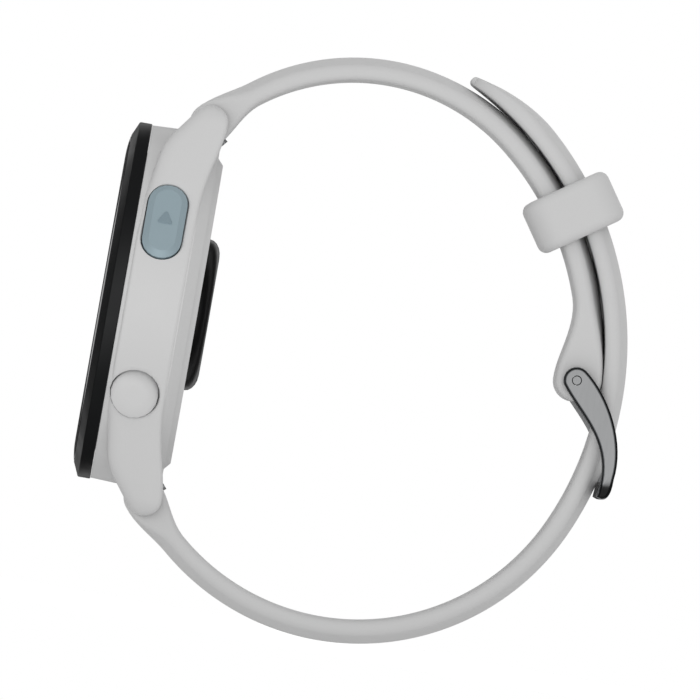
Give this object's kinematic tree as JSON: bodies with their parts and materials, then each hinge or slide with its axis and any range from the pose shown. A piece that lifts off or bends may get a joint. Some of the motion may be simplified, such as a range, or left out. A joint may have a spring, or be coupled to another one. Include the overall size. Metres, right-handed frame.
{
  "type": "gps running watch",
  "caption": "Running watch with a round pale polymer case, black bezel, side buttons, optical sensor on the back and a closed silicone strap with keeper and pin buckle.",
  "frame": {"origin": "middle of the optical sensor's flat face, which lies on the wrist", "axes": "+X out of the case back to the wrist, +Z to twelve o'clock, -Y to three o'clock"},
  "size_m": [0.064, 0.044, 0.0697],
  "materials": {
    "pale_polymer": "fine satin moulding",
    "black_polymer": "satin",
    "blue_grey_polymer": "satin",
    "clear_glass": "polished, display dark behind it",
    "dark_window": "polished",
    "pale_silicone": "matt silicone",
    "steel": "brushed with polished bevels",
    "gold_plate": "plated",
    "brass": "plain",
    "board": "solder mask",
    "foil": "pouch foil",
    "rubber": "ring seals"
  },
  "bodies": {
    "watch": {"bar_spring_12": "steel", "bar_spring_6": "steel", "battery": "foil", "beeper": "brass", "bezel": "black_polymer", "buckle_pin": "steel", "case_body": "pale_polymer", "charge_pin_1": "gold_plate", "charge_pin_2": "gold_plate", "charge_pin_3": "gold_plate", "charge_pin_4": "gold_plate", "charge_port": "black_polymer", "chassis": "black_polymer", "cover_gasket": "rubber", "cover_screw_1": "steel", "cover_screw_2": "steel", "cover_screw_3": "steel", "cover_screw_4": "steel", "display_module": "dark_window", "gps_antenna": "brass", "lens": "clear_glass", "main_board": "board", "rear_cover": "pale_polymer", "seal_back": "rubber", "seal_down": "rubber", "seal_light": "rubber", "seal_start": "rubber", "seal_up": "rubber", "sensor_board": "board", "sensor_window": "dark_window", "spring_bar_12": "steel", "spring_bar_6": "steel", "strap_buckle_half": "pale_silicone", "strap_tail_half": "pale_silicone", "switch_back": "steel", "switch_down": "steel", "switch_light": "steel", "switch_start": "steel", "switch_up": "steel", "vibration_motor": "steel"},
    "release_12": {"release_pin_12": "steel"},
    "release_6": {"release_pin_6": "steel"},
    "keeper": {"keeper": "pale_silicone"},
    "frame": {"buckle_frame": "steel"},
    "tongue": {"buckle_tongue": "steel"},
    "start_button": {"button_start": "blue_grey_polymer", "clip_start": "steel"},
    "back_button": {"button_back": "pale_polymer", "clip_back": "steel"},
    "light_button": {"button_light": "pale_polymer", "clip_light": "steel"},
    "up_button": {"button_up": "pale_polymer", "clip_up": "steel"},
    "down_button": {"button_down": "pale_polymer", "clip_down": "steel"}
  },
  "joints": [
    {"name": "start_press", "type": "slide", "parent": "watch", "child": "start_button", "axis": [0, 0.9239, -0.3827], "range_m": [0, 0.0004], "stiffness_N_per_m": 800, "springref_m": -0.0004},
    {"name": "back_press", "type": "slide", "parent": "watch", "child": "back_button", "axis": [0, 0.9239, 0.3827], "range_m": [0, 0.0004], "stiffness_N_per_m": 800, "springref_m": -0.0004},
    {"name": "light_press", "type": "slide", "parent": "watch", "child": "light_button", "axis": [0, -0.9239, -0.3827], "range_m": [0, 0.0004], "stiffness_N_per_m": 800, "springref_m": -0.0004},
    {"name": "up_press", "type": "slide", "parent": "watch", "child": "up_button", "axis": [0, -1, 0], "range_m": [0, 0.0004], "stiffness_N_per_m": 800, "springref_m": -0.0004},
    {"name": "down_press", "type": "slide", "parent": "watch", "child": "down_button", "axis": [0, -0.9239, 0.3827], "range_m": [0, 0.0004], "stiffness_N_per_m": 800, "springref_m": -0.0004},
    {"name": "keeper_slide", "type": "hinge", "parent": "watch", "child": "keeper", "pos_m": [0.0098, 0, -0.0013], "axis": [0, -1, 0], "range_deg": [-12, 12]},
    {"name": "frame_swing", "type": "hinge", "parent": "watch", "child": "frame", "pos_m": [0.04435, 0, 0.00006], "axis": [0, -1, 0], "range_deg": [0, 6]},
    {"name": "tongue_lift", "type": "hinge", "parent": "frame", "child": "tongue", "pos_m": [0.04435, 0, 0.00006], "axis": [0, -1, 0], "range_deg": [0, 6]},
    {"name": "release_12_slide", "type": "slide", "parent": "watch", "child": "release_12", "axis": [0, -1, 0], "range_m": [0, 0.0016], "stiffness_N_per_m": 300, "springref_m": -0.001, "deforming": ["bar_spring_12"]},
    {"name": "release_6_slide", "type": "slide", "parent": "watch", "child": "release_6", "axis": [0, -1, 0], "range_m": [0, 0.0016], "stiffness_N_per_m": 300, "springref_m": -0.001, "deforming": ["bar_spring_6"]}
  ]
}
